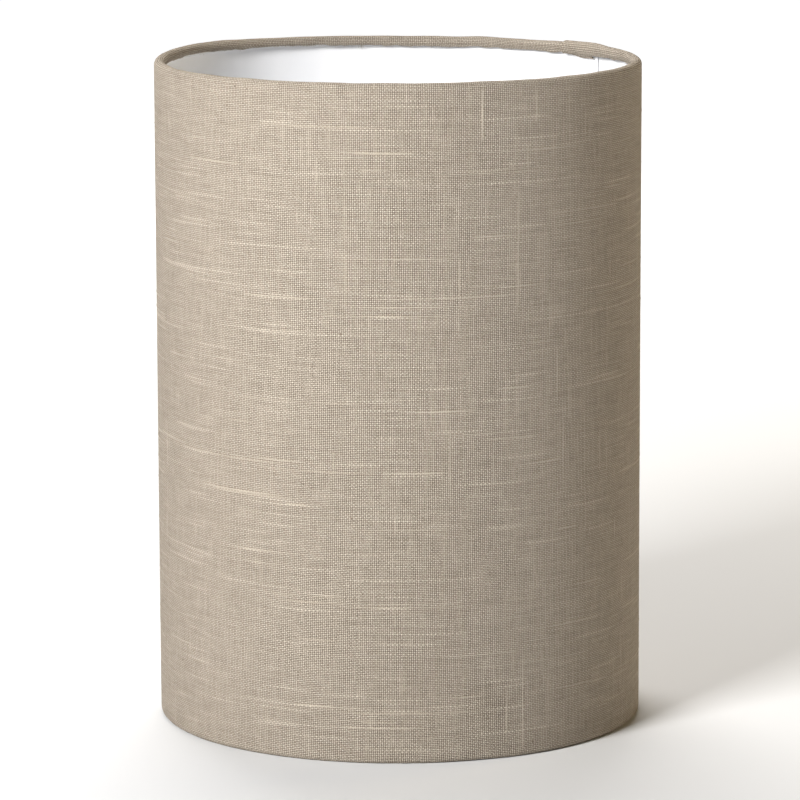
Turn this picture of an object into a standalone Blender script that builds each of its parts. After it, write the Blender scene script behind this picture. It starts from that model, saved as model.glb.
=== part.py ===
"""A straight round table lamp shade: slub linen laminated on a white lining sheet, rolled over two wire rings.

Metres, +Z up. The origin is the centre of the bottom edge, which stands on z = 0. The side seam, where the
panel laps over itself, is at the rear right. A three-spoke fitter is welded to the bottom ring, and a plastic
reducing ring lies in its collar and lifts out upwards.
"""

import math

import bmesh
import bpy

# Overall size
OUTER_RADIUS = 0.110
HEIGHT = 0.300

# Sheets and wire
CLOTH = 0.0005
LINING = 0.0003
TAPE = 0.00015
RING_WIRE_RADIUS = 0.0011
SPOKE_WIRE_RADIUS = 0.0012
GAP = 0.0003  # clearance between pieces that lie on each other

# Side seam
SEAM_ANGLE = math.radians(38)
LAP_WIDTH = 0.020
LAP_EASE_STEPS = 2
TAPE_MARGIN = 0.0025

# Rolled hem
HEM_TAIL = 0.0009  # cloth past the wire, on the inner side
ROLL_STEPS = 5  # an odd number keeps a flat facet at the very edge

# Fitter
FITTER_HEIGHT = 0.018
SPOKE_ANGLES = [math.radians(degrees) for degrees in (100, 220, 340)]
SPOKE_LEVEL_RUN = 0.012
SPOKE_BEND_RADIUS = 0.010
COLLAR_HOLE_RADIUS = 0.021
COLLAR_WIDTH = 0.006  # from the hole to the outer edge
COLLAR_THICKNESS = 0.0012
COLLAR_EDGE_BREAK = 0.0002
NOTCH_EASE = 0.0005  # cloth snipped away on each side of a spoke

# Reducing ring
REDUCER_BORE_RADIUS = 0.0145
REDUCER_FLANGE_LAP = 0.004  # how far the flange reaches over the collar
REDUCER_THICKNESS = 0.0016
REDUCER_WALL = 0.0015
REDUCER_SKIRT_DEPTH = 0.0040
REDUCER_LIP_DEPTH = 0.0030

# Smoothness
ROUND_STEPS = 70
RING_STEPS = 72
WIRE_SIDES = 8
TURNED_STEPS = 48
BEND_STEPS = 4

# Worked out from the sizes above
HEM_STEP = CLOTH + GAP  # what one more layer of cloth takes up in the hem
LAP_STEP = GAP + TAPE + GAP + LINING + GAP + CLOTH
LINING_OUTER_RADIUS = OUTER_RADIUS - CLOTH - GAP
LINING_INNER_RADIUS = LINING_OUTER_RADIUS - LINING
RING_RADIUS = LINING_INNER_RADIUS - GAP - RING_WIRE_RADIUS
TAIL_RADIUS = RING_RADIUS - RING_WIRE_RADIUS - GAP - CLOTH
ROLL_DEPTH = (OUTER_RADIUS - TAIL_RADIUS) / 2
RING_INSET = CLOTH + HEM_STEP + GAP + RING_WIRE_RADIUS
LINING_INSET = ROLL_DEPTH + GAP
TAIL_INSET = RING_INSET + RING_WIRE_RADIUS + HEM_TAIL
LAP_ANGLE = LAP_WIDTH / OUTER_RADIUS
PANEL_START = SEAM_ANGLE - LAP_ANGLE / 2
PANEL_TURN = 2 * math.pi
NOTCH_CELLS = (0, 1)  # the tail and the first facet of the bottom roll

COLLAR_OUTER_RADIUS = COLLAR_HOLE_RADIUS + COLLAR_WIDTH
REDUCER_FLANGE_RADIUS = COLLAR_HOLE_RADIUS + REDUCER_FLANGE_LAP
REDUCER_SEAT = FITTER_HEIGHT + COLLAR_THICKNESS / 2 + GAP


def clear_scene():
    for obj in list(bpy.data.objects):
        bpy.data.objects.remove(obj)


def finish_material(name, colour, roughness, metallic=0.0):
    material = bpy.data.materials.new(name)
    material.use_nodes = True
    shader = material.node_tree.nodes["Principled BSDF"]
    shader.inputs["Base Color"].default_value = (*colour, 1.0)
    shader.inputs["Roughness"].default_value = roughness
    shader.inputs["Metallic"].default_value = metallic
    return material


def add_object(name, data, material, parent):
    data.materials.append(material)
    obj = bpy.data.objects.new(name, data)
    bpy.context.scene.collection.objects.link(obj)
    obj.parent = parent
    return obj


def mesh_from(name, bm):
    """Finishes a bmesh as a mesh whose faces point out."""
    bmesh.ops.delete(bm, geom=[v for v in bm.verts if not v.link_faces], context="VERTS")
    bmesh.ops.recalc_face_normals(bm, faces=bm.faces)
    if bm.calc_volume(signed=True) < 0:
        bmesh.ops.reverse_faces(bm, faces=bm.faces)
    mesh = bpy.data.meshes.new(name)
    bm.to_mesh(mesh)
    bm.free()
    mesh.shade_smooth()
    mesh.set_sharp_from_angle(angle=math.radians(30))
    return mesh


def add_empty(name, height=0.0, parent=None):
    empty = bpy.data.objects.new(name, None)
    bpy.context.scene.collection.objects.link(empty)
    empty.location.z = height
    empty.parent = parent
    return empty


def on_circle(angle, point):
    radius, height = point
    return (radius * math.cos(angle), radius * math.sin(angle), height)


def panel_angles():
    """Angles along the panel: the lap's own steps, once round, and the lap again on top of itself."""
    lap = [PANEL_START + LAP_ANGLE * k / 2 for k in range(2)]
    run = PANEL_TURN - LAP_ANGLE
    middle = [PANEL_START + LAP_ANGLE + run * k / ROUND_STEPS for k in range(ROUND_STEPS)]
    return lap + middle + [PANEL_TURN + a for a in lap] + [PANEL_TURN + PANEL_START + LAP_ANGLE]


def lap_share(angle):
    """How far the panel has moved outwards, from 0 to 1, to pass over its own start."""
    ease = LAP_EASE_STEPS * (PANEL_TURN - LAP_ANGLE) / ROUND_STEPS
    t = 1 - (PANEL_START + PANEL_TURN - angle) / ease
    t = min(max(t, 0.0), 1.0)
    return t * t * (3 - 2 * t)


def lies_under_lap(angle):
    return angle < PANEL_START + LAP_ANGLE * 1.001


def strip_shell(name, angles, sections, missing=lambda step, cell: False):
    """A sheet swept round the axis. Each section is a list of (outer point, inner point) along the sheet.

    A cell lies between two sections and two pairs of points, and a missing one is left open.
    """
    bm = bmesh.new()
    grid = [
        [[bm.verts.new(on_circle(angle, point)) for point in pair] for pair in section]
        for angle, section in zip(angles, sections)
    ]
    steps = len(sections) - 1
    cells = len(sections[0]) - 1

    def filled(step, cell):
        inside = 0 <= step < steps and 0 <= cell < cells
        return inside and not missing(step, cell)

    for step in range(steps):
        for cell in range(cells):
            if not filled(step, cell):
                continue
            near, far = grid[step], grid[step + 1]
            for side in (0, 1):
                bm.faces.new((near[cell][side], near[cell + 1][side], far[cell + 1][side], far[cell][side]))
            if not filled(step - 1, cell):
                bm.faces.new((*near[cell], *reversed(near[cell + 1])))
            if not filled(step + 1, cell):
                bm.faces.new((*far[cell], *reversed(far[cell + 1])))
            if not filled(step, cell - 1):
                bm.faces.new((*near[cell], *reversed(far[cell])))
            if not filled(step, cell + 1):
                bm.faces.new((*near[cell + 1], *reversed(far[cell + 1])))
    return mesh_from(name, bm)


def roll(wall_radius, tail_radius, inset):
    """The cloth's turn round the wire at the bottom edge, from its inner side to the wall."""
    middle = (wall_radius + tail_radius) / 2
    half = (wall_radius - tail_radius) / 2
    facet = math.sin(math.pi * (ROLL_STEPS // 2) / ROLL_STEPS)
    pairs = []
    for k in range(ROLL_STEPS + 1):
        across, down = math.cos(math.pi * k / ROLL_STEPS), math.sin(math.pi * k / ROLL_STEPS) / facet
        pairs.append(
            [
                (middle - (half - t) * across, ROLL_DEPTH - (ROLL_DEPTH - inset - t) * down)
                for t in (0.0, CLOTH)
            ]
        )
    return pairs


def cloth_section(angle):
    """The cloth from the end of its bottom tail, up the wall, to the end of its top tail."""
    share = lap_share(angle)
    wall_radius = OUTER_RADIUS + LAP_STEP * share
    tail_radius = TAIL_RADIUS - HEM_STEP * share
    inset = HEM_STEP if lies_under_lap(angle) else 0.0
    tail = [(tail_radius + t, TAIL_INSET) for t in (0.0, CLOTH)]
    bottom = [tail] + roll(wall_radius, tail_radius, inset)
    top = [[(radius, HEIGHT - height) for radius, height in pair] for pair in reversed(bottom)]
    return bottom + top


def notch_edges():
    half = (SPOKE_WIRE_RADIUS + GAP + NOTCH_EASE) / TAIL_RADIUS
    return [(angle - half, angle + half) for angle in SPOKE_ANGLES]


def linen_cover(parent):
    edges = notch_edges()
    angles = sorted(panel_angles() + [edge for pair in edges for edge in pair])

    def snipped(step, cell):
        middle = (angles[step] + angles[step + 1]) / 2
        return cell in NOTCH_CELLS and any(low < middle < high for low, high in edges)

    mesh = strip_shell("linen_cover", angles, [cloth_section(a) for a in angles], snipped)
    material = finish_material("linen", (0.50, 0.43, 0.35), 0.9)
    return add_object("linen_cover", mesh, material, parent)


def flat_strip(name, angles, inner_radius, thickness, low, high):
    sections = []
    for angle in angles:
        outward = LAP_STEP * lap_share(angle)
        radii = (inner_radius + thickness + outward, inner_radius + outward)
        sections.append([[(radius, height) for radius in radii] for height in (low, high)])
    return strip_shell(name, angles, sections)


def lining_panel(parent):
    mesh = flat_strip(
        "lining_panel", panel_angles(), LINING_INNER_RADIUS, LINING, LINING_INSET, HEIGHT - LINING_INSET
    )
    material = finish_material("lining", (0.86, 0.87, 0.90), 0.4)
    return add_object("lining_panel", mesh, material, parent)


def seam_tape(parent):
    """Double-sided tape between the two layers of the lap."""
    margin = TAPE_MARGIN / OUTER_RADIUS
    angles = [PANEL_START + margin, PANEL_START + LAP_ANGLE / 2, PANEL_START + LAP_ANGLE - margin]
    low = LINING_INSET + TAPE_MARGIN
    mesh = flat_strip("seam_tape", angles, OUTER_RADIUS + GAP, TAPE, low, HEIGHT - low)
    material = finish_material("tape", (0.80, 0.78, 0.70), 0.5)
    return add_object("seam_tape", mesh, material, parent)


def turned(name, profile, steps):
    """A closed (radius, height) profile turned once round Z."""
    bm = bmesh.new()
    points = [bm.verts.new((radius, 0.0, height)) for radius, height in profile]
    edges = [bm.edges.new((points[k - 1], points[k])) for k in range(len(points))]
    bmesh.ops.spin(
        bm, geom=points + edges, angle=2 * math.pi, steps=steps, axis=(0, 0, 1), cent=(0, 0, 0), use_merge=True
    )
    return mesh_from(name, bm)


def wire_ring(name, height, material, parent):
    profile = [
        (
            RING_RADIUS + RING_WIRE_RADIUS * math.cos(2 * math.pi * k / WIRE_SIDES),
            RING_WIRE_RADIUS * math.sin(2 * math.pi * k / WIRE_SIDES),
        )
        for k in range(WIRE_SIDES)
    ]
    ring = add_object(name, turned(name, profile, RING_STEPS), material, parent)
    ring.location.z = height
    return ring


def rounded(points, radius):
    """The path with each corner turned into a bend that starts and ends radius away from it."""
    path = [points[0]]
    for before, corner, after in zip(points, points[1:], points[2:]):
        ends = []
        for other in (before, after):
            length = math.dist(corner, other)
            share = min(radius / length, 0.5)
            ends.append([c + (o - c) * share for c, o in zip(corner, other)])
        for k in range(BEND_STEPS + 1):
            t = k / BEND_STEPS
            path.append(
                [(1 - t) ** 2 * a + 2 * t * (1 - t) * c + t**2 * b for a, c, b in zip(ends[0], corner, ends[1])]
            )
    return path + [points[-1]]


def spoke_curve():
    """A spoke along +X: level at the collar, down through the snipped hem, level again at the ring."""
    start = COLLAR_OUTER_RADIUS + GAP
    end = RING_RADIUS - RING_WIRE_RADIUS - GAP
    low = RING_INSET - FITTER_HEIGHT
    corners = [(start, 0.0), (start + SPOKE_LEVEL_RUN, 0.0), (end - SPOKE_LEVEL_RUN, low), (end, low)]
    path = rounded(corners, SPOKE_BEND_RADIUS)
    curve = bpy.data.curves.new("spoke", "CURVE")
    curve.dimensions = "3D"
    curve.bevel_depth = SPOKE_WIRE_RADIUS
    curve.bevel_resolution = 2
    curve.use_fill_caps = True
    spline = curve.splines.new("POLY")
    spline.points.add(len(path) - 1)
    for point, (radius, height) in zip(spline.points, path):
        point.co = (radius, 0.0, height, 1.0)
    return curve


def fitter_collar(material, parent):
    half, edge = COLLAR_THICKNESS / 2, COLLAR_EDGE_BREAK
    profile = [
        (COLLAR_HOLE_RADIUS, -half + edge),
        (COLLAR_HOLE_RADIUS + edge, -half),
        (COLLAR_OUTER_RADIUS - edge, -half),
        (COLLAR_OUTER_RADIUS, -half + edge),
        (COLLAR_OUTER_RADIUS, half - edge),
        (COLLAR_OUTER_RADIUS - edge, half),
        (COLLAR_HOLE_RADIUS + edge, half),
        (COLLAR_HOLE_RADIUS, half - edge),
    ]
    return add_object("fitter_collar", turned("fitter_collar", profile, TURNED_STEPS), material, parent)


def reducer_ring(parent):
    """A flange that lies on the collar, a skirt that centres it in the hole, and a lip round its bore."""
    skirt_radius = COLLAR_HOLE_RADIUS - GAP
    profile = [
        (REDUCER_BORE_RADIUS, REDUCER_THICKNESS),
        (REDUCER_BORE_RADIUS, -REDUCER_LIP_DEPTH),
        (REDUCER_BORE_RADIUS + REDUCER_WALL, -REDUCER_LIP_DEPTH),
        (REDUCER_BORE_RADIUS + REDUCER_WALL, 0.0),
        (skirt_radius - REDUCER_WALL, 0.0),
        (skirt_radius - REDUCER_WALL, -REDUCER_SKIRT_DEPTH),
        (skirt_radius, -REDUCER_SKIRT_DEPTH),
        (skirt_radius, 0.0),
        (REDUCER_FLANGE_RADIUS, 0.0),
        (REDUCER_FLANGE_RADIUS, REDUCER_THICKNESS),
    ]
    mesh = turned("reducer_ring", profile, TURNED_STEPS)
    material = finish_material("moulded_plastic", (0.85, 0.85, 0.83), 0.45)
    ring = add_object("reducer_ring", mesh, material, parent)
    ring.location.z = REDUCER_SEAT
    return ring


def build():
    clear_scene()
    shade = add_empty("lamp_shade")
    fitter = add_empty("fitter", FITTER_HEIGHT, shade)
    wire = finish_material("coated_wire", (0.82, 0.82, 0.80), 0.35)

    linen_cover(shade)
    lining_panel(shade)
    seam_tape(shade)
    wire_ring("top_ring", HEIGHT - RING_INSET, wire, shade)
    wire_ring("bottom_ring", RING_INSET, wire, shade)
    fitter_collar(wire, fitter)
    spoke = spoke_curve()
    for number, angle in enumerate(SPOKE_ANGLES, start=1):
        arm = bpy.data.objects.new(f"spoke_{number}", spoke)
        bpy.context.scene.collection.objects.link(arm)
        arm.parent = fitter
        arm.rotation_euler.z = angle
    spoke.materials.append(wire)
    reducer_ring(shade)


build()
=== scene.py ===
"""The looks of a slub linen lamp shade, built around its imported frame.

Metres, +Z up. The linen is one long panel. It starts at the side seam, runs once round the axis by
rising angle, and laps over its own start. Both long edges turn in over a wire ring and end raw on the lining.
"""

import math
import random

import bmesh
import bpy
from mathutils import Matrix, Vector


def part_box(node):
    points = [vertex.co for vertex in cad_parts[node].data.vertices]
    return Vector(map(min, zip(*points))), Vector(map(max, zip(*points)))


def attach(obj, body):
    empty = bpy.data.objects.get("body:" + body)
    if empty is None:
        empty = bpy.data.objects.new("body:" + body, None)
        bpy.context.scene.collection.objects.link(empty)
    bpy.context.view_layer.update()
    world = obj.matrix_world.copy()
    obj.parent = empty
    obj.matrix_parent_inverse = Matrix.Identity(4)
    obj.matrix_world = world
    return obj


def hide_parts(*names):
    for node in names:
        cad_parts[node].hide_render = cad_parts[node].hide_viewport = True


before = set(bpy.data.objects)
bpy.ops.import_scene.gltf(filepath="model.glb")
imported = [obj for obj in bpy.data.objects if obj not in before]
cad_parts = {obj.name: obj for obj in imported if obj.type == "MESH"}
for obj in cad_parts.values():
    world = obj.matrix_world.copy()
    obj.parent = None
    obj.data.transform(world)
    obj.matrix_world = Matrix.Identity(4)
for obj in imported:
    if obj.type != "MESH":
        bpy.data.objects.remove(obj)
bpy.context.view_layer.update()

# Sheets and wire
CLOTH = 0.0005
LINING = 0.0003
TAPE = 0.00012
SLIVER = 0.00003  # air between sheets that are stuck together
RING_WIRE = 0.0011
SPOKE_WIRE = 0.0012

# Rolled hems
ROLL = 0.0020  # from the roll's centre to the middle of the cloth
TUCK = math.radians(30)  # how far past straight down the cloth goes on round the wire
TAIL = 0.0017  # straight cloth from the roll to the raw edge
ROLL_CELLS = 13
TAIL_CELLS = 4
RAW_EDGE_THICKNESS = 0.5
LINING_INSET = 0.0026
LINING_SHIFT = 0.0014  # covers the cloth's cut edge inside, and stops short of its folded edge outside
WAIST = 0.00022  # how far the wall draws in below each roll
WAIST_DEPTH = 0.0046
WAIST_SPREAD = 0.0020

# Side seam
LAP_WIDTH = 0.020
LAP_STEP = CLOTH + TAPE + LINING + 3 * SLIVER
HEM_STEP = 0.00055
LAP_EASE = math.radians(9)
TAPE_MARGIN = 0.0025
FOLD_WIDTH = 0.007
FOLD_THICKNESS = 0.0003
FOLD_CLOSING = LAP_STEP - CLOTH - 2 * SLIVER  # how far the folded end bends in to the layer under it
FLAP = 0.0022  # spare cloth at the start of the top hem
FLAP_ENDS = (math.radians(37.5), math.radians(42.5))

# Cuts in the bottom hem where the spokes pass
NOTCH_EASE = 0.0008
NOTCH_TOP = 0.0011

# Fitter
SPOKE_LEVEL_RUN = 0.012
SPOKE_BEND = 0.010
WELD_CUTS = (0.0004, 0.0009, 0.0015, 0.0022, 0.0032)  # cross-sections that shape a weld bead
WELD_SPREAD = 0.0013
WELD_SWELL = 0.35
COLLAR_WIDTH = 0.006

# Weave
WARP_PITCH = 0.00094
WEFT_PITCH = 0.00080

# Smoothness
PANEL_STEPS = 480
WALL_CELLS = 30
TURNED_STEPS = 192
WIRE_STEPS = 240
WIRE_SIDES = 16
SHARP_TURNED = math.radians(40)
SHARP_SHEET = math.radians(50)


def far_radius(node):
    """The node's largest distance from the axis, away from the lap."""
    return max(math.hypot(v.co.x, v.co.y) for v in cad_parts[node].data.vertices if v.co.x < 0)


def middle(node):
    low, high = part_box(node)
    return (low + high) / 2


def heading(node):
    """The angle at which the node's vertices lie, seen from the axis."""
    total = sum((v.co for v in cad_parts[node].data.vertices), Vector())
    return math.atan2(total.y, total.x) % (2 * math.pi)


OUTER_RADIUS = far_radius("linen_cover")
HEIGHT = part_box("linen_cover")[1].z
RING_RADIUS = far_radius("top_ring") - RING_WIRE
COLLAR_RADIUS = far_radius("fitter_collar")
COLLAR_LOW, COLLAR_HIGH = (corner.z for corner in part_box("fitter_collar"))
SPOKE_NODES = ["spoke_1", "spoke_2", "spoke_3"]
SPOKE_ANGLES = [heading(node) for node in SPOKE_NODES]
LAP_ANGLE = LAP_WIDTH / OUTER_RADIUS
PANEL_START = heading("seam_tape") - LAP_ANGLE / 2
PANEL_END = PANEL_START + 2 * math.pi + LAP_ANGLE


# Curves and waves


def ease(value, low, high):
    """0 below low, 1 above high, and a smooth step between them."""
    t = min(max((value - low) / (high - low), 0.0), 1.0)
    return t * t * (3 - 2 * t)


def swell(value, centre, spread):
    """A bell shaped rise of height 1."""
    return math.exp(-(((value - centre) / spread) ** 2))


def ripple(seed, turns):
    """A smooth wave round the axis, between about -1 and 1, made of sines of so many turns each."""
    draw = random.Random(seed)
    waves = [(turn, draw.uniform(0, 2 * math.pi)) for turn in turns]
    share = 1 / math.sqrt(len(waves))
    return lambda angle, sine=math.sin: sum(sine(angle * turn + phase) * share for turn, phase in waves)


wall_wave = ripple(11, (2, 3, 5, 8))
belly_wave = ripple(12, (2, 4, 7))
rim_wave = ripple(13, (3, 5, 9, 14, 23))
roll_wave = ripple(14, (4, 7, 12, 19, 31))
edge_wave = ripple(15, (9, 17, 26, 38, 55, 71))
thread_wave = ripple(16, (97, 131, 149, 173))

# Places where the rim stands up, as (angle, spread, rise) in degrees and metres
RIM_HUMPS = [(69, 5.0, 0.0005), (150, 26, 0.0015), (150, 5, 0.0002), (75, 30, -0.0005)]
# Places where the raw edge hangs lower, or higher if the drop is below zero
EDGE_DROPS = [(147.5, 2.6, 0.0007), (121, 17, -0.0011), (92, 12, -0.0005)]


def bumps(angle, places):
    degrees = math.degrees(angle) % 360
    return sum(rise * swell(degrees, at, spread) for at, spread, rise in places)


# The panel's shape


def lap_share(angle):
    """How far the panel has moved outwards, from 0 to 1, to pass over its own start."""
    start = PANEL_START + 2 * math.pi
    return ease(angle, start - LAP_EASE, start)


def lap_zone(angle):
    """1 where the hem holds two layers of the panel, in whichever layer the angle lies."""
    before = lap_share(angle)
    after = 1 - ease(angle, PANEL_START + LAP_ANGLE, PANEL_START + LAP_ANGLE + LAP_EASE)
    return max(before, after)


def unevenness(angle, height, sine=math.sin):
    """How far the wall stands out or in from a true cylinder. It also takes values of a node tree."""
    belly = belly_wave(angle, sine) * sine(height * (math.pi / HEIGHT))
    return wall_wave(angle, sine) * 0.00008 + belly * 0.00012


def wall_radius(angle, height):
    """The middle of the cloth in the wall."""
    waist = sum(swell(depth, WAIST_DEPTH, WAIST_SPREAD) for depth in (height, HEIGHT - height))
    step = LAP_STEP * lap_share(angle)
    return OUTER_RADIUS - CLOTH / 2 + unevenness(angle, height) - WAIST * waist + step


def hem(angle, wall, top):
    """The turned-in cloth from the wall round the wire to its raw edge.

    Each point is (radius, depth from the rim, outward direction as radius and depth), on the cloth's middle.
    """
    lapped = lap_share(angle)
    loose = 0.00010 * (1 + roll_wave(angle))
    roll = ROLL + loose + lapped * (LAP_STEP + HEM_STEP) / 2
    centre, depth = wall - roll, ROLL + CLOTH / 2
    if not top:
        depth += loose + lap_zone(angle) * (LAP_STEP + HEM_STEP) / 2
    tail = TAIL + 0.00026 * edge_wave(angle) + 0.00010 * thread_wave(angle)
    if top:
        tail += bumps(angle, EDGE_DROPS)
        if angle < PANEL_START + LAP_ANGLE + LAP_EASE:
            tail += FLAP * (1 - ease(angle, *FLAP_ENDS))
    turn = math.pi + TUCK
    points = []
    for k in range(ROLL_CELLS + 1):
        across, up = math.cos(turn * k / ROLL_CELLS), math.sin(turn * k / ROLL_CELLS)
        points.append((centre + roll * across, depth - roll * up, across, -up))
    radius, low, across, down = points[-1]
    for k in range(1, TAIL_CELLS + 1):
        run = tail * k / TAIL_CELLS
        points.append((radius + run * math.sin(TUCK), low + run * math.cos(TUCK), across, down))
    return points


def thick(point, height, side, half):
    """The sheet's two faces at a point of its middle line, as (radius, height) pairs."""
    radius, _, across, down = point
    return [(radius + t * across, height - t * side * down) for t in (half, -half)]


def end_taper(angle):
    """The panel's cut ends are rounded, so the sheet gets thinner in its last quarter millimetre."""
    left = min(angle - PANEL_START, PANEL_END - angle) * OUTER_RADIUS
    t = min(left / (CLOTH / 2), 1.0)
    return max(math.sqrt(1 - (1 - t) ** 2), 0.12)


def cloth_section(angle):
    """The cloth's outer and inner points, from the bottom raw edge, up the wall, to the top raw edge."""
    half = CLOTH / 2 * end_taper(angle)
    rise = 0.00008 * rim_wave(angle) + bumps(angle, RIM_HUMPS)
    lift = 0.00005 * (1 + rim_wave(angle + 1.0))
    top = hem(angle, wall_radius(angle, HEIGHT - ROLL), True)
    bottom = hem(angle, wall_radius(angle, ROLL), False)
    raw = RAW_EDGE_THICKNESS * half
    halves = [half] * (len(top) - 1) + [raw]
    upper = [thick(p, HEIGHT + rise - p[1], 1, h) for p, h in zip(top, halves)]
    lower = [thick(p, max(lift, 0.0) + p[1], -1, h) for p, h in zip(bottom, halves)]
    low, high = bottom[0][1] + lift, HEIGHT + rise - top[0][1]
    left = (PANEL_END - angle) * OUTER_RADIUS
    folded = FOLD_THICKNESS * end_taper(angle) * (1 - ease(left, 0.7 * FOLD_WIDTH, FOLD_WIDTH))
    wall = []
    for k in range(1, WALL_CELLS):
        height = low + (high - low) * k / WALL_CELLS
        radius = wall_radius(angle, height)
        wall.append([(radius + half + folded, height), (radius - half, height)])
    section = lower[::-1] + wall + upper
    closed = FOLD_CLOSING * (1 - ease(left, 0.0, 2.4 * CLOTH))
    return [[(radius - closed, height) for radius, height in faces] for faces in section]


def panel_angles(steps, extra=(), shift=0.0):
    """Angles along the panel, closer together at its cut ends. Both ends can lie shift metres back."""
    ends = [CLOTH / 2 * share / OUTER_RADIUS for share in (0.08, 0.25, 0.55, 1.0, 1.7, 2.6, 3.6, 4.8)]
    start, end = PANEL_START - shift / OUTER_RADIUS, PANEL_END - shift / OUTER_RADIUS
    even = [start + (end - start) * k / steps for k in range(steps + 1)]
    near = [start + e for e in ends] + [end - e for e in ends]
    return sorted(even + near + list(extra))


def notch_edges():
    half = (SPOKE_WIRE + NOTCH_EASE) / RING_RADIUS
    return [(angle + turn - half, angle + turn + half) for angle in SPOKE_ANGLES for turn in (0, 2 * math.pi)]


# Meshes


def new_piece(name, mesh, material=None):
    if material:
        mesh.materials.clear()
        mesh.materials.append(material)
    piece = bpy.data.objects.new(name, mesh)
    bpy.context.scene.collection.objects.link(piece)
    return piece


def mesh_of(name, points, faces):
    mesh = bpy.data.meshes.new(name)
    mesh.from_pydata(points, [], faces)
    mesh.shade_smooth()
    mesh.set_sharp_from_angle(angle=SHARP_TURNED)
    return mesh


def running_lengths(section):
    """How far along the sheet each point of a section lies."""
    lengths = [0.0]
    for (a, _), (b, _) in zip(section, section[1:]):
        lengths.append(lengths[-1] + math.dist(a, b))
    return lengths


def sheet_mesh(name, angles, section_at, missing=lambda step, cell: False):
    """A closed sheet swept round the axis, with a UV map in metres along the panel and across it.

    A cell lies between two angles and two rows of the section, and a missing one is left open.
    """
    sections = [section_at(angle) for angle in angles]
    lengths = running_lengths(section_at(PANEL_START + math.pi))
    steps, rows = len(angles), len(lengths)
    points, places = [], []
    for angle, section in zip(angles, sections):
        for (outer, inner), along in zip(section, lengths):
            for radius, height in (outer, inner):
                points.append((radius * math.cos(angle), radius * math.sin(angle), height))
                places.append(((angle - PANEL_START) * OUTER_RADIUS, along))

    def at(step, row, side):
        return (step * rows + row) * 2 + side

    def filled(step, cell):
        return 0 <= step < steps - 1 and 0 <= cell < rows - 1 and not missing(step, cell)

    faces = []
    for step in range(steps - 1):
        for cell in range(rows - 1):
            if not filled(step, cell):
                continue
            a, b, c, d = ((step, cell), (step + 1, cell), (step + 1, cell + 1), (step, cell + 1))
            faces.append([at(*p, 0) for p in (a, b, c, d)])
            faces.append([at(*p, 1) for p in (d, c, b, a)])
            for (p, q), (other_step, other_cell) in (
                ((a, b), (step, cell - 1)),
                ((b, c), (step + 1, cell)),
                ((c, d), (step, cell + 1)),
                ((d, a), (step - 1, cell)),
            ):
                if not filled(other_step, other_cell):
                    faces.append([at(*q, 0), at(*p, 0), at(*p, 1), at(*q, 1)])
    mesh = bpy.data.meshes.new(name)
    mesh.from_pydata(points, [], faces)
    layer = mesh.uv_layers.new(name="panel")
    for loop in mesh.loops:
        layer.uv[loop.index].vector = places[loop.vertex_index]
    drop_loose(mesh)
    mesh.shade_smooth()
    mesh.set_sharp_from_angle(angle=SHARP_SHEET)
    return mesh


def drop_loose(mesh):
    """Removes the points that no face uses."""
    shape = bmesh.new()
    shape.from_mesh(mesh)
    for point in [v for v in shape.verts if not v.link_faces]:
        shape.verts.remove(point)
    shape.to_mesh(mesh)
    shape.free()


def lathe(name, profile, steps=TURNED_STEPS, swelling=lambda angle: 0.0, centre=(0.0, 0.0)):
    """A closed profile of (radius, height) points, anticlockwise, turned once round the axis.

    swelling says how much further each point lies from the profile's centre at an angle, as a share.
    """
    points = []
    for k in range(steps):
        angle = 2 * math.pi * k / steps
        grown = 1 + swelling(angle)
        for radius, height in profile:
            r = centre[0] + (radius - centre[0]) * grown
            z = centre[1] + (height - centre[1]) * grown
            points.append((r * math.cos(angle), r * math.sin(angle), z))
    count = len(profile)
    faces = []
    for k in range(steps):
        near, far = k * count, (k + 1) % steps * count
        for i in range(count):
            j = (i + 1) % count
            faces.append([near + i, far + i, far + j, near + j])
    return mesh_of(name, points, faces)


def rounded(before, corner, after, radius, most, cuts):
    """A curve in place of a corner. It starts and ends radius from it, or at most that share of each side."""
    ends = []
    for other in (before, after):
        share = min(radius / math.dist(corner, other), most)
        ends.append([c + (o - c) * share for c, o in zip(corner, other)])
    curve = []
    for step in range(cuts + 1):
        t = step / cuts
        weights = ((1 - t) ** 2, 2 * t * (1 - t), t * t)
        spots = zip(ends[0], corner, ends[1])
        curve.append([sum(w * place for w, place in zip(weights, spot)) for spot in spots])
    return curve


def softened(corners, radius, cuts=3):
    """A closed outline with each corner rounded."""
    outline = []
    for before, corner, after in zip(corners[-1:] + corners, corners, corners[1:] + corners[:1]):
        outline += rounded(before, corner, after, radius, 0.45, cuts)
    return outline


def bent_path(corners, radius, cuts):
    """An open path with each inner corner rounded."""
    path = [corners[0]]
    for before, corner, after in zip(corners, corners[1:], corners[2:]):
        path += rounded(before, corner, after, radius, 0.5, cuts)
    return path + [corners[-1]]


def circle(centre, radius, sides):
    """An anticlockwise outline."""
    turns = [2 * math.pi * k / sides for k in range(sides)]
    return [(centre[0] + radius * math.cos(turn), centre[1] + radius * math.sin(turn)) for turn in turns]


# Node trees


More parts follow.
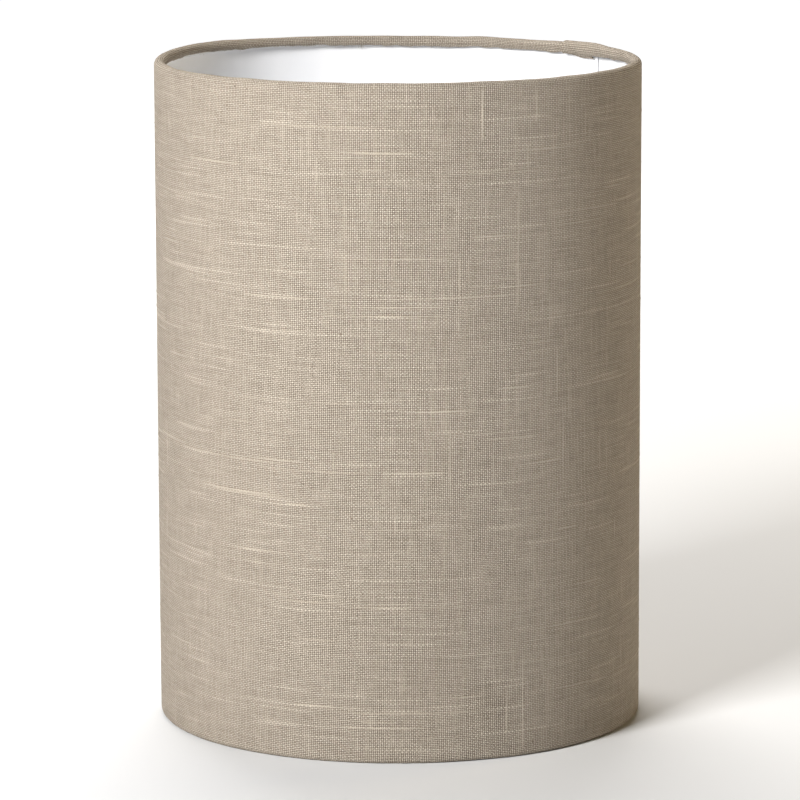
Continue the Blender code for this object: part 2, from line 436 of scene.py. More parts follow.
class Value:
    """An output socket. A sum written with values adds its Math nodes."""

    def __init__(self, nodes, socket):
        self.nodes = nodes
        self.socket = socket

    def math(self, operation, *inputs):
        return self.nodes.add("ShaderNodeMath", {"operation": operation}, dict(enumerate(inputs)))

    def __add__(self, other):
        return self.math("ADD", self, other)

    def __radd__(self, other):
        return self.math("ADD", other, self)

    def __sub__(self, other):
        return self.math("SUBTRACT", self, other)

    def __rsub__(self, other):
        return self.math("SUBTRACT", other, self)

    def __mul__(self, other):
        return self.math("MULTIPLY", self, other)

    def __rmul__(self, other):
        return self.math("MULTIPLY", other, self)

    def __truediv__(self, other):
        return self.math("DIVIDE", self, other)

    def __pow__(self, other):
        return self.math("POWER", self, other)

    def __neg__(self):
        return self.math("MULTIPLY", self, -1.0)

    def __gt__(self, other):
        return self.math("GREATER_THAN", self, other)

    def floor(self):
        return self.math("FLOOR", self)

    def part(self):
        return self.math("FRACT", self)

    def sine(self):
        return self.math("SINE", self)

    def cosine(self):
        return self.math("COSINE", self)

    def root(self):
        return self.math("SQRT", self)

    def at_least(self, other):
        return self.math("MAXIMUM", self, other)

    def at_most(self, other):
        return self.math("MINIMUM", self, other)

    def eased(self, low, high):
        """0 below low, 1 above high, and a smooth step between them."""
        settings = {"interpolation_type": "SMOOTHSTEP"}
        return self.nodes.add("ShaderNodeMapRange", settings, {0: self, 1: low, 2: high})

    def split(self):
        """The three parts of a vector."""
        node = self.nodes.add("ShaderNodeSeparateXYZ", {}, {0: self}).socket.node
        return [Value(self.nodes, socket) for socket in node.outputs]


class Nodes:
    """Writes a node tree. add() makes any node from its type, settings, and sockets' values or links."""

    def __init__(self, tree):
        self.tree = tree

    def add(self, kind, settings=None, sockets=None, output=0):
        node = self.tree.nodes.new(kind)
        for name, value in (settings or {}).items():
            setattr(node, name, value)
        for name, value in (sockets or {}).items():
            self.feed(node.inputs[name], value)
        return Value(self, node.outputs[output])

    def feed(self, socket, value):
        if isinstance(value, Value):
            self.tree.links.new(value.socket, socket)
        elif isinstance(value, list):
            for each in value:
                self.feed(socket, each)
        else:
            socket.default_value = value

    def vector(self, x=0.0, y=0.0, z=0.0):
        return self.add("ShaderNodeCombineXYZ", {}, {0: x, 1: y, 2: z})


class Finish(Nodes):
    """A material with one Principled shader. constants are set on the shader's own sockets."""

    def __init__(self, name, constants):
        self.material = bpy.data.materials.new(name)
        self.material.use_nodes = True
        super().__init__(self.material.node_tree)
        self.shader = self.tree.nodes["Principled BSDF"]
        for socket, value in constants.items():
            self.shader.inputs[socket].default_value = value

    def done(self, colour, roughness, height, depth):
        """height times depth is the surface's relief in metres."""
        self.feed(self.shader.inputs["Base Color"], colour)
        self.feed(self.shader.inputs["Roughness"], roughness)
        bump = self.add("ShaderNodeBump", {}, {"Distance": depth, "Strength": 1.0, "Height": height})
        self.feed(self.shader.inputs["Normal"], bump)
        return self.material

    def place(self):
        return self.add("ShaderNodeTexCoord", {}, {}, "Object")

    def panel(self):
        """Metres along the panel and across it."""
        return self.add("ShaderNodeUVMap", {"uv_map": "panel"}).split()[:2]

    def noise(self, where, scale, detail=2.0, flat=False):
        settings = {"noise_dimensions": "2D" if flat else "3D"}
        return self.add("ShaderNodeTexNoise", settings, {"Vector": where, "Scale": scale, "Detail": detail})

    def chance(self, number):
        """An even random number for each whole number."""
        return self.add("ShaderNodeTexWhiteNoise", {"noise_dimensions": "1D"}, {"W": number})

    def blend(self, factor, first, second):
        """Colours mixed by a factor."""
        settings = {"data_type": "RGBA"}
        colours = {6: first, 7: second}
        for key, colour in colours.items():
            if not isinstance(colour, Value):
                colours[key] = (*colour, 1.0)
        return self.add("ShaderNodeMix", settings, {0: factor, **colours}, 2)


class Pattern(Nodes):
    """A Geometry Nodes tree with named inputs for its sizes."""

    def __init__(self, name):
        super().__init__(bpy.data.node_groups.new(name, "GeometryNodeTree"))
        self.tree.interface.new_socket("Geometry", in_out="INPUT", socket_type="NodeSocketGeometry")
        self.tree.interface.new_socket("Geometry", in_out="OUTPUT", socket_type="NodeSocketGeometry")
        self.inlet = self.tree.nodes.new("NodeGroupInput")
        self.values = {}

    def given(self):
        return Value(self, self.inlet.outputs[0])

    def size(self, name, value):
        kind = "NodeSocketInt" if isinstance(value, int) else "NodeSocketFloat"
        item = self.tree.interface.new_socket(name, in_out="INPUT", socket_type=kind)
        self.values[item.identifier] = value
        return Value(self, self.inlet.outputs[name])

    def read(self, name, kind="FLOAT"):
        return self.add("GeometryNodeInputNamedAttribute", {"data_type": kind}, {"Name": name})

    def turned(self, angle):
        """A rotation about Z."""
        return self.add("FunctionNodeEulerToRotation", {}, {0: self.vector(0.0, 0.0, angle)})

    def realized(self, geometry):
        return self.add("GeometryNodeRealizeInstances", {}, {0: geometry})

    def instances(self, shape, rotation, scale):
        """The shape at each of the piece's points."""
        points = self.add("GeometryNodeMeshToPoints", {}, {0: self.given()})
        sockets = {"Points": points, "Instance": shape, "Rotation": rotation, "Scale": scale}
        return self.add("GeometryNodeInstanceOnPoints", {}, sockets)

    def run(self, piece, geometry, material):
        """Runs the tree on a piece and leaves the result as its plain mesh."""
        painted = self.add("GeometryNodeSetMaterial", {}, {0: self.realized(geometry), "Material": material})
        outlet = self.tree.nodes.new("NodeGroupOutput")
        self.feed(outlet.inputs[0], painted)
        modifier = piece.modifiers.new(self.tree.name, "NODES")
        modifier.node_group = self.tree
        for identifier, value in self.values.items():
            modifier[identifier] = value
        graph = bpy.context.evaluated_depsgraph_get()
        mesh = bpy.data.meshes.new_from_object(
            piece.evaluated_get(graph), preserve_all_data_layers=True, depsgraph=graph
        )
        piece.modifiers.clear()
        piece.data = mesh
        mesh.name = piece.name
        return piece


# Finishes


OAT = (0.66, 0.585, 0.49)
TAUPE = (0.47, 0.40, 0.32)
# Painted shade: the dark brown for the pores and valleys between threads, not a colour of the fibre
PORE_SHADE = (0.115, 0.082, 0.052)


def slub_linen():
    """Plain weave: upright warp threads and level weft threads pass over and under each other, with painted
    shade in the hollows between them.
    """
    cloth = Finish("slub_linen", {"Specular IOR Level": 0.12})
    along, up = cloth.panel()

    drift = cloth.noise(cloth.vector(along * 110, up * 28), 1.0, 1.0, True) - 0.5
    sag = cloth.noise(cloth.vector(along * 26, up * 120), 1.0, 1.0, True) - 0.5
    x = along / WARP_PITCH + drift * 0.6
    y = up / WEFT_PITCH + sag * 0.9
    warp, weft = x.floor(), y.floor()

    def body(thread, run, seed, slub):
        """How thick and how pale a thread is at a place along it. Now and then it has a slub."""
        slow = cloth.noise(cloth.vector(thread * 7.31 + seed, run * 90), 1.0, 2.0, True)
        long = cloth.noise(cloth.vector(thread * 5.17 + seed, run * 34), 1.0, 0.0, True)
        return slow * 0.55 + 0.225 + long.eased(0.72, 0.88) * slub

    warp_body, weft_body = body(warp, up, 0.5, 0.2), body(weft, along * 0.55, 91.5, 0.4)

    def yarn(offset, thickness, wave):
        """A thread's height over the weave's middle, as its own round back on its rise and fall."""
        share = offset / (0.30 + thickness * 0.30)
        back = (1 - share * share).at_least(0.0).root()
        return wave * 0.16 + back * (0.10 + thickness * 0.28)

    rise = (y - 0.5 + warp) * math.pi
    fall = (x - 0.5 + weft) * math.pi
    warp_height = yarn(x.part() - 0.5, warp_body, rise.cosine())
    weft_height = yarn(y.part() - 0.5, weft_body, -fall.cosine())
    height = warp_height.at_least(weft_height)
    over = warp_height > weft_height

    fibre = cloth.noise(cloth.place(), 5200.0, 2.0)
    height = height + fibre * 0.03
    shown = over * warp_body + (1 - over) * weft_body
    cloudy = cloth.noise(cloth.vector(along * 9, up * 7), 1.0, 2.0, True) - 0.5
    speck = cloth.chance(warp + weft * 1000)
    # Painted shade and highlight: warp floats are painted darker than weft floats, for how each kind of float
    # catches the light. The rest of this tone is the threads' own random paleness.
    pale = 0.62 - over * 0.5 + speck * 0.34 + (shown - 0.5) * 0.5 + cloudy * 0.06 + (fibre - 0.5) * 0.4
    thread = cloth.blend(pale.at_least(0.0).at_most(1.0), TAUPE, OAT)
    # Painted shade: the lower the weave's surface lies, the darker it is painted, darkest in the pores
    # between threads
    colour = cloth.blend(height.eased(0.04, 0.42), PORE_SHADE, thread)
    return cloth.done(colour, 0.82 + 0.12 * fibre, height + speck * 0.2, 0.0018)


def slub_yarn():
    """Thick soft-spun places in single threads, paler than the cloth."""
    yarn = Finish("slub_yarn", {"Sheen Weight": 0.15, "Sheen Roughness": 0.5, "Specular IOR Level": 0.2})
    tone = yarn.add("ShaderNodeAttribute", {"attribute_name": "tone"}, {}, "Fac")
    fluff = yarn.noise(yarn.place(), 2600.0, 3.0)
    pale = tone + (fluff - 0.5) * 0.5
    colour = yarn.blend(pale.at_least(0.0).at_most(1.0), (0.20, 0.155, 0.11), (0.62, 0.55, 0.455))
    return yarn.done(colour, 0.85 + 0.1 * fluff, fluff, 0.00015)


def lining_film():
    """Satin white film. The cloth's threads press through it very faintly."""
    film = Finish("lining_film", {"Specular IOR Level": 0.42, "Coat Roughness": 0.3})
    along, up = film.panel()
    threads = ((along * 2 * math.pi / WARP_PITCH).sine() + (up * 2 * math.pi / WEFT_PITCH).sine()) * 0.5
    patches = film.noise(film.vector(along * 60, up * 22), 1.0, 3.0, True)
    grain = film.noise(film.place(), 1800.0, 2.0)
    colour = film.blend(patches.eased(0.25, 0.75), (0.89, 0.90, 0.92), (0.915, 0.922, 0.938))
    height = threads * 0.05 + patches * 0.5 + grain * 0.08
    return film.done(colour, 0.36 + patches * 0.12 + grain * 0.05, height, 0.00012)


def double_tape():
    tape = Finish("double_tape", {"Specular IOR Level": 0.5})
    tissue = tape.noise(tape.place(), 1500.0, 4.0)
    colour = tape.blend(tissue.eased(0.35, 0.65), (0.74, 0.71, 0.62), (0.84, 0.82, 0.74))
    return tape.done(colour, 0.3 + tissue * 0.2, tissue, 0.00003)


def powder_coat():
    """White powder coat on wire and plate: a slight orange peel and a few thin, duller patches."""
    coat = Finish("powder_coat", {"Specular IOR Level": 0.5, "Coat Roughness": 0.2, "Coat Weight": 0.15})
    peel = coat.noise(coat.place(), 900.0, 2.0)
    patch = coat.noise(coat.place(), 90.0, 3.0)
    colour = coat.blend(patch.eased(0.3, 0.7), (0.78, 0.78, 0.755), (0.85, 0.85, 0.835))
    return coat.done(colour, 0.30 + patch * 0.15, peel, 0.00006)


def moulded_plastic():
    """White plastic with a fine sparked texture from its mould."""
    plastic = Finish("moulded_plastic", {"Specular IOR Level": 0.45, "Subsurface Weight": 0.08})
    plastic.shader.inputs["Subsurface Scale"].default_value = 0.0015
    spark = plastic.noise(plastic.place(), 3400.0, 3.0)
    flow = plastic.noise(plastic.place(), 70.0, 2.0)
    colour = plastic.blend(flow, (0.83, 0.83, 0.80), (0.88, 0.88, 0.86))
    return plastic.done(colour, 0.38 + spark * 0.18, spark, 0.00003)


def studio_paper():
    """Pale paper that is lit from behind further out, as a light table is."""
    paper = Finish("studio_paper", {"Specular IOR Level": 0.1, "Emission Strength": 1.0})
    where = paper.place()
    tooth = paper.noise(where, 700.0, 2.0)
    x, y, _ = where.split()
    glow = (x * x + y * y).root().eased(*GLOW_REACH)
    paper.feed(paper.shader.inputs["Emission Color"], paper.blend(glow, (0, 0, 0), (1.0, 1.0, 1.0)))
    return paper.done((*FLOOR_COLOUR, 1.0), 0.9 + tooth * 0.05, tooth, 0.00002)


# Pieces


def linen_cover(material):
    """The panel of linen with its lap, its two rolled hems and the cuts for the spokes."""
    edges = notch_edges()
    inside = [e for pair in edges for e in pair if PANEL_START < e < PANEL_END]
    angles = panel_angles(PANEL_STEPS, inside)
    plain = cloth_section(PANEL_START + math.pi)

    def snipped(step, cell):
        here = (angles[step] + angles[step + 1]) / 2
        low = plain[cell + 1][0]
        cut = cell < ROLL_CELLS and low[1] > NOTCH_TOP and low[0] < RING_RADIUS
        return cut and any(start < here < end for start, end in edges)

    return new_piece("linen_panel", sheet_mesh("linen_panel", angles, cloth_section, snipped), material)


def flat_section(inner, outer, low, high, cells):
    """A sheet that follows the wall, inner and outer metres out from the wall's middle line."""

    def section(angle):
        rows = []
        for k in range(cells + 1):
            height = low + (high - low) * k / cells
            radius = wall_radius(angle, height)
            rows.append([(radius + outer, height), (radius + inner, height)])
        return rows

    return section


def lining_sheet(material):
    outer = -CLOTH / 2 - SLIVER
    section = flat_section(outer - LINING, outer, LINING_INSET, HEIGHT - LINING_INSET, WALL_CELLS)
    angles = panel_angles(PANEL_STEPS, shift=LINING_SHIFT)
    return new_piece("white_lining", sheet_mesh("white_lining", angles, section), material)


def tape_strip(material):
    inner = CLOTH / 2 + SLIVER
    margin = TAPE_MARGIN / OUTER_RADIUS
    count = 16
    span = LAP_ANGLE - 2 * margin
    angles = [PANEL_START + margin + span * k / count for k in range(count + 1)]
    low = LINING_INSET + TAPE_MARGIN
    section = flat_section(inner, inner + TAPE, low, HEIGHT - low, WALL_CELLS)
    return new_piece("lap_tape", sheet_mesh("lap_tape", angles, section), material)


def wire_ring(name, height, material):
    """A wire ring, a little thicker where its ends are butt welded."""
    weld = PANEL_START + math.pi / 3
    centre = (RING_RADIUS, height)

    def bead(angle):
        return 0.10 * swell(angle, weld, 0.0012 / RING_RADIUS)

    wire = circle(centre, RING_WIRE, WIRE_SIDES)
    return new_piece(name, lathe(name, wire, WIRE_STEPS, bead, centre), material)


def spoke(name, angle, ring_height, material):
    """A bent wire from the collar's edge to the ring, with a weld bead at each end."""
    start, end = COLLAR_RADIUS - 0.0004, RING_RADIUS - RING_WIRE * 0.7
    high, low = (COLLAR_LOW + COLLAR_HIGH) / 2, ring_height
    corners = [(start, high), (start + SPOKE_LEVEL_RUN, high), (end - SPOKE_LEVEL_RUN, low), (end, low)]
    bends = bent_path(corners, SPOKE_BEND, 10)
    near = [(start + d, high) for d in WELD_CUTS]
    far = [(end - d, low) for d in reversed(WELD_CUTS)]
    path = [bends[0]] + near + bends[1:-1] + far + [bends[-1]]
    sides = WIRE_SIDES
    points = []
    for k, (radius, height) in enumerate(path):
        before, after = path[max(k - 1, 0)], path[min(k + 1, len(path) - 1)]
        run = math.dist(before, after)
        across, up = (after[0] - before[0]) / run, (after[1] - before[1]) / run
        weld = swell(radius, start, WELD_SPREAD) + swell(radius, end, WELD_SPREAD)
        thickness = SPOKE_WIRE * (1 + WELD_SWELL * weld)
        for side in range(sides):
            turn = 2 * math.pi * side / sides
            out, sideways = thickness * math.cos(turn), thickness * math.sin(turn)
            points.append((radius - up * out, sideways, height + across * out))
    faces = []
    for k in range(len(path) - 1):
        for side in range(sides):
            other = (side + 1) % sides
            a, b = k * sides, (k + 1) * sides
            faces.append([a + side, a + other, b + other, b + side])
    faces.append([side for side in reversed(range(sides))])
    faces.append([(len(path) - 1) * sides + side for side in range(sides)])
    mesh = mesh_of(name, points, faces)
    mesh.transform(Matrix.Rotation(angle, 4, "Z"))
    return new_piece(name, mesh, material)


def collar_plate(material):
    """A stamped steel ring with rolled-over edges."""
    inner = COLLAR_RADIUS - COLLAR_WIDTH
    low, high = COLLAR_LOW, COLLAR_HIGH
    corners = [(inner, low), (COLLAR_RADIUS, low), (COLLAR_RADIUS, high), (inner, high)]
    return new_piece("steel_collar", lathe("steel_collar", softened(corners, 0.0005, 4)), material)


def reducing_ring(material):
    """The loose plastic ring: a flange on the collar, a skirt in its hole, a lip round the bore, and ribs."""
    low, high = (corner.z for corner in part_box("reducer_ring"))
    flange = far_radius("reducer_ring")
    hole = COLLAR_RADIUS - COLLAR_WIDTH
    skirt, wall, bore = hole - 0.0003, 0.0015, 0.0145
    seat = COLLAR_HIGH + 0.0003
    lip = seat - 0.0030
    corners = [
        (bore, high),
        (bore, lip),
        (bore + wall, lip),
        (bore + wall, seat),
        (skirt - wall, seat),
        (skirt - wall, low),
        (skirt, low),
        (skirt, seat),
        (flange, seat),
        (flange, high),
        (flange - 0.0012, high),
        (flange - 0.0016, high - 0.0003),
        (flange - 0.0024, high - 0.0003),
        (flange - 0.0028, high),
    ]
    ring = new_piece("plastic_reducer", lathe("plastic_reducer", softened(corners, 0.0004)), material)

    ribs = Pattern("reducer_ribs")
    count = ribs.size("Ribs", 12)
    reach = ribs.size("Rib length", skirt - bore - 2 * wall + 0.0006)
    thickness = ribs.size("Rib thickness", 0.0009)
    depth = ribs.size("Rib depth", 0.0022)
    centre = ribs.size("Rib centre", (skirt + bore) / 2)
    level = ribs.size("Rib level", seat - 0.0010)
    circle_points = ribs.add("GeometryNodeMeshCircle", {}, {"Vertices": count, "Radius": centre})
    x, y, _ = ribs.add("GeometryNodeInputPosition").split()
    turn = ribs.add("ShaderNodeMath", {"operation": "ARCTAN2"}, {0: y, 1: x})
    box = ribs.add("GeometryNodeMeshCube", {}, {"Size": ribs.vector(reach, thickness, depth)})
    sockets = {"Points": circle_points, "Instance": box, "Rotation": ribs.turned(turn)}
    placed = ribs.realized(ribs.add("GeometryNodeInstanceOnPoints", {}, sockets))
    raised = ribs.add("GeometryNodeSetPosition", {}, {0: placed, "Offset": ribs.vector(0.0, 0.0, level)})
    joined = ribs.add("GeometryNodeJoinGeometry", {}, {0: [ribs.given(), raised]})
    return ribs.run(ring, joined, material)


def seeded_points(name, rows, facts):
    """A mesh of single points. Each row is a place and then one number or vector for each named fact."""
    mesh = bpy.data.meshes.new(name)
    mesh.from_pydata([row[0] for row in rows], [], [])
    for k, (fact, kind) in enumerate(facts, start=1):
        layer = mesh.attributes.new(fact, kind, "POINT")
        for point, row in zip(layer.data, rows):
            if kind == "FLOAT":
                point.value = row[k]
            else:
                point.vector = row[k]
    return new_piece(name, mesh)


# Single threads that stand out, as (angle in degrees, height, length, girth, tone) at their middle
UPRIGHT_SLUBS = [
    (289.3, 0.286, 0.024, 0.00017, 0.95),
    (298.2, 0.229, 0.058, 0.00014, 0.80),
    (303.0, 0.288, 0.015, 0.00015, 0.90),
    (306.2, 0.214, 0.024, 0.00014, 0.80),
    (309.0, 0.168, 0.030, 0.00016, 0.90),
    (281.6, 0.136, 0.038, 0.00016, 0.95),
    (276.3, 0.122, 0.044, 0.00014, 0.85),
    (291.9, 0.133, 0.022, 0.00016, 0.85),
    (310.9, 0.138, 0.031, 0.00015, 0.85),
    (302.3, 0.088, 0.054, 0.00013, 0.70),
    (305.8, 0.069, 0.036, 0.00013, 0.75),
    (299.5, 0.026, 0.048, 0.00015, 0.85),
    (295.3, 0.019, 0.030, 0.00016, 0.90),
    (283.9, 0.214, 0.026, 0.00013, 0.75),
]
LEVEL_SLUBS = [
    (241.0, 0.206, 0.040, 0.00018, 0.95),
    (274.0, 0.203, 0.058, 0.00016, 0.95),
    (255.8, 0.284, 0.038, 0.00014, 0.80),
    (292.3, 0.233, 0.024, 0.00016, 0.90),
    (319.8, 0.241, 0.050, 0.00015, 0.80),
    (279.4, 0.157, 0.035, 0.00017, 0.95),
    (273.7, 0.130, 0.031, 0.00016, 0.95),
    (230.4, 0.118, 0.053, 0.00016, 0.85),
    (301.6, 0.220, 0.031, 0.00014, 0.85),
    (307.8, 0.228, 0.026, 0.00014, 0.80),
    (252.2, 0.075, 0.021, 0.00017, 0.95),
    (286.9, 0.048, 0.046, 0.00016, 0.90),
    (311.8, 0.057, 0.049, 0.00015, 0.80),
    (252.6, 0.025, 0.033, 0.00017, 0.90),
    (236.7, 0.087, 0.024, 0.00015, 0.80),
    (266.8, 0.270, 0.030, 0.00014, 0.85),
]
# Dark nepps caught in the weave, as (angle in degrees, height)
NEPPS = [
    (233.5, 0.296),
    (289.9, 0.277),
    (230.0, 0.2965),
    (207.3, 0.034),
    (256.8, 0.191),
    (254.5, 0.220),
    (223.1, 0.206),
    (247.3, 0.113),
    (259.0, 0.110),
    (235.4, 0.270),
    (302.1, 0.006),
]
SLUB_GIRTH = 1.2
SHORTEST_SLUB = 0.009
LONGEST_SLUB = 0.080
SLUB_INSET = 0.009
# Seeded slubs, as (how many, turn, mean length over the shortest, least girth, most girth)
RANDOM_SLUBS = [
    (60, math.pi / 2, 0.011, 0.00010, 0.00017),
    (250, 0.0, 0.024, 0.00013, 0.00021),
]
RANDOM_NEPPS = 60


def slub_rows():
    """Every slub as its middle on the flat panel, then its turn, length, girth and tone."""
    draw = random.Random(5)
    rows = []
    for slubs, turn in ((UPRIGHT_SLUBS, math.pi / 2), (LEVEL_SLUBS, 0.0)):
        for degrees, height, length, girth, tone in slubs:
            place = (math.radians(degrees) * OUTER_RADIUS, height, 0.0)
            rows.append((place, turn, length, girth * SLUB_GIRTH, tone))
    first, last = PANEL_START + LAP_ANGLE, PANEL_START + 2 * math.pi - LAP_EASE
    for count, turn, mean, least, most in RANDOM_SLUBS:
        for _ in range(count):
            length = min(SHORTEST_SLUB + draw.expovariate(1 / mean), LONGEST_SLUB)
            spare = 0.0 if turn else length / 2 / OUTER_RADIUS
            angle = draw.uniform(first + spare, last - spare)
            inset = SLUB_INSET + (length / 2 if turn else 0.0)
            height = draw.uniform(inset, HEIGHT - inset)
            girth = draw.uniform(least, most)
            rows.append(((angle * OUTER_RADIUS, height, 0.0), turn, length, girth, draw.uniform(0.5, 0.9)))
    return rows


def wrapped(tree, geometry, radius, sink):
    """Bends a flat pattern, x along the panel and y up, round the shade."""
    x, y, z = tree.add("GeometryNodeInputPosition").split()
    angle = x / radius
    out = z + radius - sink + unevenness(angle, y, Value.sine)
    round_place = tree.vector(angle.cosine() * out, angle.sine() * out, y)
    return tree.add("GeometryNodeSetPosition", {}, {0: geometry, "Position": round_place})


def slub_yarns(material):
    """Tapered yarns that lie in the surface of the wall."""
    facts = [("turn", "FLOAT"), ("long", "FLOAT"), ("girth", "FLOAT"), ("tone", "FLOAT")]
    piece = seeded_points("slub_yarns", slub_rows(), facts)
    yarns = Pattern("slub_yarns")
    rings = yarns.size("Rings", 17)
    sides = yarns.size("Sides", 5)
    radius = yarns.size("Wall radius", OUTER_RADIUS)
    sink = yarns.size("Sink", 0.00003)
    waver = yarns.size("Waver", 0.00022)
    line = yarns.add("GeometryNodeCurvePrimitiveLine", {}, {0: (-0.5, 0, 0), 1: (0.5, 0, 0)})
    line = yarns.add("GeometryNodeResampleCurve", {}, {0: line, "Count": rings})
    factor = yarns.add("GeometryNodeSplineParameter")
    taper = (factor * math.pi).sine().at_least(0.02) ** 0.6
    outline = yarns.add("GeometryNodeCurvePrimitiveCircle", {}, {"Resolution": sides, "Radius": 1.0})
    swept = {0: line, 1: outline, "Scale": taper, "Fill Caps": True}
    strand = yarns.add("GeometryNodeCurveToMesh", {}, swept)
    strand = yarns.add("GeometryNodeSetShadeSmooth", {}, {0: strand})
    girth = yarns.read("girth")
    scale = yarns.vector(yarns.read("long"), girth, girth)
    real = yarns.realized(yarns.instances(strand, yarns.turned(yarns.read("turn")), scale))
    place = yarns.add("GeometryNodeInputPosition")
    wobble = yarns.add("ShaderNodeTexNoise", {}, {"Vector": place, "Scale": 160.0, "Detail": 1.0}, 1).split()
    shift = yarns.vector((wobble[0] - 0.5) * waver, (wobble[1] - 0.5) * waver, 0.0)
    real = yarns.add("GeometryNodeSetPosition", {}, {0: real, "Offset": shift})
    return yarns.run(piece, wrapped(yarns, real, radius, sink), material)


def nepps(material):
    """Small dark knots of fibre caught in the wall."""
    draw = random.Random(8)
    rows = [((math.radians(d) * OUTER_RADIUS, z, 0.0), 0.00038, 0.05) for d, z in NEPPS]
    first, last = PANEL_START + LAP_ANGLE, PANEL_START + 2 * math.pi - LAP_EASE
    for _ in range(RANDOM_NEPPS):
        place = (draw.uniform(first, last) * OUTER_RADIUS, draw.uniform(0.006, HEIGHT - 0.006), 0.0)
        rows.append((place, draw.uniform(0.00014, 0.00028), draw.uniform(0.05, 0.5)))
    piece = seeded_points("nepps", rows, [("girth", "FLOAT"), ("tone", "FLOAT")])
    knots = Pattern("nepps")
    radius = knots.size("Wall radius", OUTER_RADIUS)
    flatness = knots.size("Flatness", 0.55)
    ball = knots.add("GeometryNodeMeshIcoSphere", {}, {"Radius": 1.0, "Subdivisions": 2})
    girth = knots.read("girth")
    turn = knots.add("FunctionNodeRandomValue", {"data_type": "FLOAT"}, {2: 0.0, 3: 3.0, "Seed": 4}, 1)
    ball = knots.add("GeometryNodeSetShadeSmooth", {}, {0: ball})
    scale = knots.vector(girth * 1.4, girth, girth * flatness)
    real = knots.realized(knots.instances(ball, knots.turned(turn), scale))
    return knots.run(piece, wrapped(knots, real, radius, 0.0), material)


def raw_edge(angle, top):
    """The middle of the cloth's raw edge."""
    section = cloth_section(angle)
    outer, inner = section[-1] if top else section[0]
    radius, height = (outer[0] + inner[0]) / 2, (outer[1] + inner[1]) / 2
    return Vector((radius * math.cos(angle), radius * math.sin(angle), height))


# Stretches of the top raw edge with loose fibres, as (first angle, last angle, fibres, longest, tone)
FRINGES = [
    (109.0, 125.0, 150, 0.0011, 0.85),
    (136.0, 152.0, 40, 0.0008, 0.55),
    (98.8, 100.2, 16, 0.0027, 0.40),
    (77.0, 80.0, 10, 0.0014, 0.60),
    (33.0, 47.0, 50, 0.0008, 0.60),
]
EVEN_FRINGE = 420


def fray_rows():
    draw = random.Random(21)
    rows = []

    def fibre(angle, top, length, tone, spread=0.6):
        inward = Vector((-math.cos(angle), -math.sin(angle), 0))
        round_way = Vector((-math.sin(angle), math.cos(angle), 0))
        down = Vector((0, 0, -1 if top else 1))
        lean = down + inward * draw.uniform(-0.35, 0.15) + round_way * draw.gauss(0, spread)
        start = raw_edge(angle, top) - down * 0.0002
        rows.append((start, lean.normalized(), length, draw.uniform(0.00003, 0.00006), tone))

    for first, last, count, longest, tone in FRINGES:
        for _ in range(count):
            angle = math.radians(draw.uniform(first, last))
            fibre(angle, True, longest * draw.uniform(0.35, 1.0), tone + draw.uniform(-0.2, 0.15), 0.35)
    for top in (True, False):
        for _ in range(EVEN_FRINGE):
            angle = draw.uniform(PANEL_START + LAP_ANGLE, PANEL_START + 2 * math.pi - LAP_EASE)
            length = min(0.0002 + draw.expovariate(1 / 0.0003), 0.0016)
            fibre(angle, top, length, draw.uniform(0.35, 0.8))
    return rows


def frayed_fibres(material):
    """Loose fibre ends along the two raw edges."""
    facts = [("aim", "FLOAT_VECTOR"), ("long", "FLOAT"), ("girth", "FLOAT"), ("tone", "FLOAT")]
    piece = seeded_points("frayed_fibres", fray_rows(), facts)
    fray = Pattern("frayed_fibres")
    bend = fray.size("Bend", 0.22)
    line = fray.add("GeometryNodeCurvePrimitiveLine", {}, {0: (0, 0, 0), 1: (0, 0, 1)})
    line = fray.add("GeometryNodeResampleCurve", {}, {0: line, "Count": fray.size("Rings", 4)})
    factor = fray.add("GeometryNodeSplineParameter")
    offset = fray.vector(factor * factor * bend, 0.0, 0.0)
    line = fray.add("GeometryNodeSetPosition", {}, {0: line, "Offset": offset})
    sides = fray.size("Sides", 4)
    outline = fray.add("GeometryNodeCurvePrimitiveCircle", {}, {"Resolution": sides, "Radius": 1.0})
    thin = 1.05 - factor * 0.75
    girth, length = fray.read("girth"), fray.read("long")
    rescaled = fray.size("Width over length", 0.08)
    swept = {0: line, 1: outline, "Scale": thin * rescaled, "Fill Caps": True}
    strand = fray.add("GeometryNodeCurveToMesh", {}, swept)
    spin = fray.add("FunctionNodeRandomValue", {"data_type": "FLOAT"}, {2: 0.0, 3: 6.28, "Seed": 9}, 1)
    sockets = {"Rotation": fray.turned(spin), "Vector": fray.read("aim", "FLOAT_VECTOR")}
    aimed = fray.add("FunctionNodeAlignRotationToVector", {"axis": "Z"}, sockets)
    scale = fray.vector(girth / rescaled, girth / rescaled, length)
    return fray.run(piece, fray.instances(strand, aimed, scale), material)


# Studio


OBJECT_CENTRE = Vector((0, 0, HEIGHT / 2))
CAMERA_AIM = OBJECT_CENTRE + Vector((0.00045, 0, -0.0066))
CAMERA_DISTANCE = 2.1885
CAMERA_PITCH = math.radians(9.725)
CAMERA_ROLL = math.radians(-0.187)
CAMERA_LENS = 215.7
FLOOR_COLOUR = (0.765, 0.775, 0.785)
GLOW_REACH = (0.6, 2.6)  # where the floor starts to glow, and where it glows fully
FLOOR_REACH = 7.0
FLOOR_SIDES = 96
BACKDROP_FOOT = -0.5
BACKDROP_HEIGHT = 2.6


def camera():
    data = bpy.data.cameras.new("camera")
    data.lens = CAMERA_LENS
    data.sensor_width = 36
    data.clip_end = 50
    eye = bpy.data.objects.new("camera", data)
    bpy.context.scene.collection.objects.link(eye)
    back = Vector((0, -math.cos(CAMERA_PITCH), math.sin(CAMERA_PITCH)))
    eye.location = OBJECT_CENTRE + back * CAMERA_DISTANCE
    aim = (CAMERA_AIM - eye.location).to_track_quat("-Z", "Y")
    eye.rotation_euler = (aim.to_matrix() @ Matrix.Rotation(CAMERA_ROLL, 3, "Z")).to_euler()
    bpy.context.scene.camera = eye


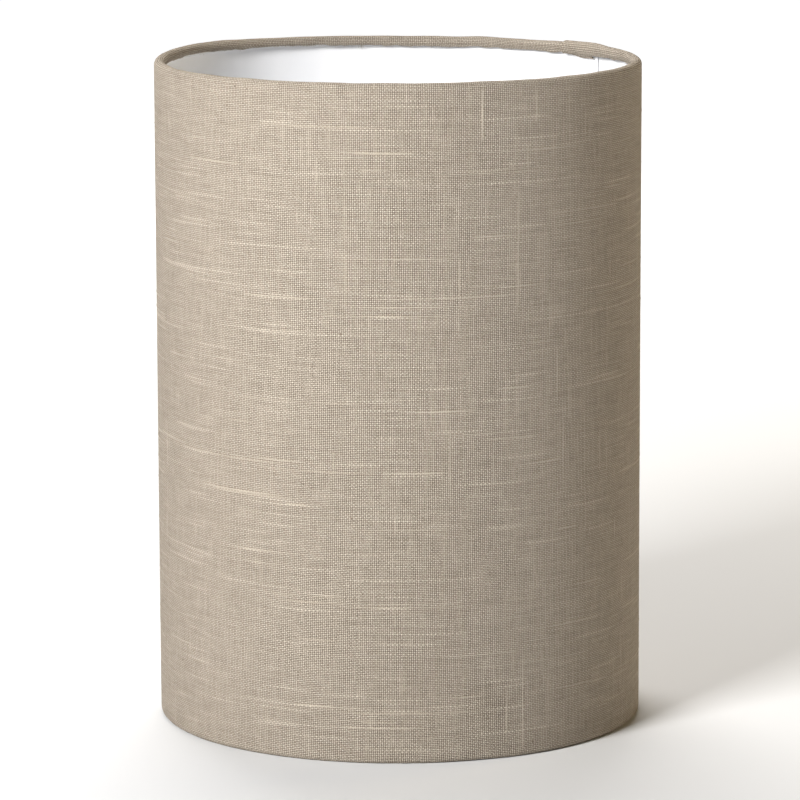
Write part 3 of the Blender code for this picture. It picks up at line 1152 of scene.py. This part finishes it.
def soft_light(name, azimuth, elevation, distance, width, power, colour):
    """A square soft light that faces the shade. Azimuth 0 is the camera's side, and 90 is the right."""
    data = bpy.data.lights.new(name, "AREA")
    data.shape = "SQUARE"
    data.size = width
    data.energy = power
    data.color = colour
    lamp = bpy.data.objects.new(name, data)
    bpy.context.scene.collection.objects.link(lamp)
    a, e = math.radians(azimuth), math.radians(elevation)
    way = Vector((math.sin(a) * math.cos(e), -math.cos(a) * math.cos(e), math.sin(e)))
    lamp.location = OBJECT_CENTRE + way * distance
    lamp.rotation_euler = way.to_track_quat("Z", "Y").to_euler()
    lamp.visible_camera = False


def studio():
    scene = bpy.context.scene
    scene.view_settings.view_transform = "Standard"
    world = bpy.data.worlds.new("studio_air")
    scene.world = world
    world.use_nodes = True
    world.node_tree.nodes["Background"].inputs["Strength"].default_value = 0.0

    sides = FLOOR_SIDES
    ring = circle((0, 0), FLOOR_REACH, sides)
    disc = mesh_of("studio_floor", [(x, y, 0) for x, y in ring], [list(range(sides))])
    floor = new_piece("studio_floor", disc, studio_paper())
    walls = [(x, y, z) for z in (BACKDROP_FOOT, BACKDROP_HEIGHT) for x, y in ring]
    faces = [[(k + 1) % sides, k, sides + k, sides + (k + 1) % sides] for k in range(sides)]
    glow = Finish("studio_backdrop", {"Emission Strength": 1.0, "Specular IOR Level": 0.0})
    glow.shader.inputs["Base Color"].default_value = (0, 0, 0, 1)
    glow.shader.inputs["Emission Color"].default_value = (1, 1, 1, 1)
    backdrop = new_piece("studio_backdrop", mesh_of("studio_backdrop", walls, faces), glow.material)
    for kind in ("diffuse", "glossy", "transmission", "volume_scatter", "shadow"):
        setattr(backdrop, "visible_" + kind, False)

    soft_light("key", -35, 28, 1.9, 0.6, 49, (1.0, 0.99, 0.98))
    soft_light("back_top", -172, 50, 1.9, 1.2, 38, (0.97, 0.945, 0.92))
    soft_light("warm_rim", 120, 12, 2.0, 0.8, 12.5, (1.0, 0.79, 0.46))


def build():
    camera()
    studio()

    linen, yarn, film = slub_linen(), slub_yarn(), lining_film()
    tape, coat, plastic = double_tape(), powder_coat(), moulded_plastic()

    cover = linen_cover(linen)
    slubs = slub_yarns(yarn)
    knots = nepps(yarn)
    fibres = frayed_fibres(yarn)
    lining = lining_sheet(film)
    strip = tape_strip(tape)
    top_wire = wire_ring("top_wire", middle("top_ring").z, coat)
    level = middle("bottom_ring").z
    bottom_wire = wire_ring("bottom_wire", level, coat)
    wires = [spoke(f"wire_{node}", angle, level, coat) for node, angle in zip(SPOKE_NODES, SPOKE_ANGLES)]
    collar = collar_plate(coat)
    reducer = reducing_ring(plastic)

    stands_for = [
        (cover, "linen", ["linen_cover"]),
        (slubs, "linen", []),
        (knots, "linen", []),
        (fibres, "linen", []),
        (lining, "lining", ["lining_panel"]),
        (strip, "tape", ["seam_tape"]),
        (top_wire, "coated_wire", ["top_ring"]),
        (bottom_wire, "coated_wire", ["bottom_ring"]),
        (collar, "coated_wire", ["fitter_collar"]),
    ]
    stands_for += [(wire, "coated_wire", [node]) for wire, node in zip(wires, SPOKE_NODES)]
    for piece, slot, nodes in stands_for:
        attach(piece, "shade")
        if nodes:
            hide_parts(*nodes)
    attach(reducer, "reducer")
    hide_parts("reducer_ring")

    depth = running_lengths(cloth_section(PANEL_START + math.pi))[-1]


build()
